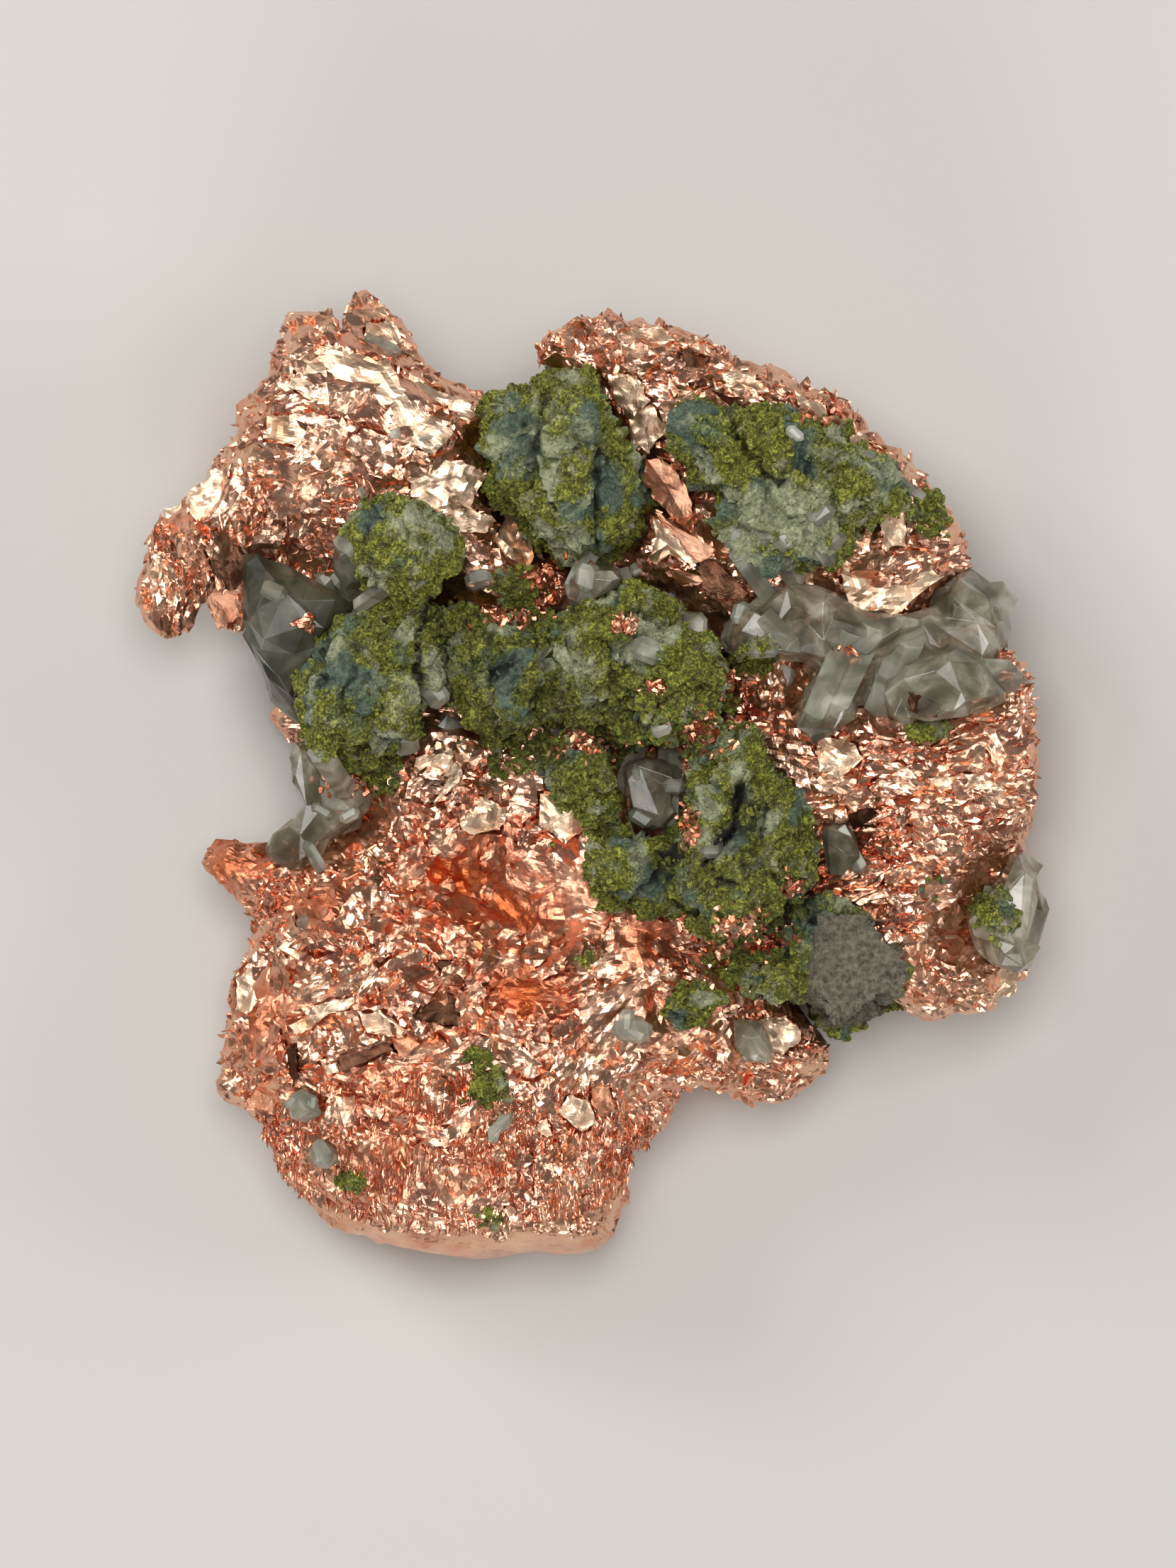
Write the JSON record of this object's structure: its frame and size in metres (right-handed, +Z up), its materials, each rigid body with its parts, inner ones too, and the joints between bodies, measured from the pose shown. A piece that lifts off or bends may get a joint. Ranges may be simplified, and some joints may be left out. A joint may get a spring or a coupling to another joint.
{
  "type": "native copper specimen",
  "caption": "Hand specimen of hackly native copper grown through green epidote rock and pale quartz, lying on its back.",
  "frame": {"origin": "middle of the bounding box's underside, on the table it lies on", "axes": "+Z up, out of the best face, along the shortest extent; +Y along the longest extent, the picture's up; +X the picture's right"},
  "size_m": [0.064, 0.0682, 0.0257],
  "materials": {
    "copper": "hackly bare metal, lightly tarnished",
    "epidote": "granular, matt",
    "quartz": "milky to clear, glassy"
  },
  "bodies": {
    "root": {"copper_mass": "copper", "epidote_arm": "epidote", "epidote_end": "epidote", "epidote_left_ridge": "epidote", "epidote_lower": "epidote", "epidote_patch": "epidote", "epidote_small": "epidote", "epidote_top": "epidote", "epidote_upper_right": "epidote", "quartz_bottom": "quartz", "quartz_grain_green_heart": "quartz", "quartz_grain_ledge": "quartz", "quartz_grain_needle": "quartz", "quartz_grain_pair": "quartz", "quartz_left_flank": "quartz", "quartz_lower_right": "quartz", "quartz_near_knob": "quartz", "quartz_neck": "quartz", "quartz_right_cluster": "quartz", "quartz_shard": "quartz", "quartz_tall": "quartz", "quartz_vein": "quartz"}
  },
  "joints": []
}
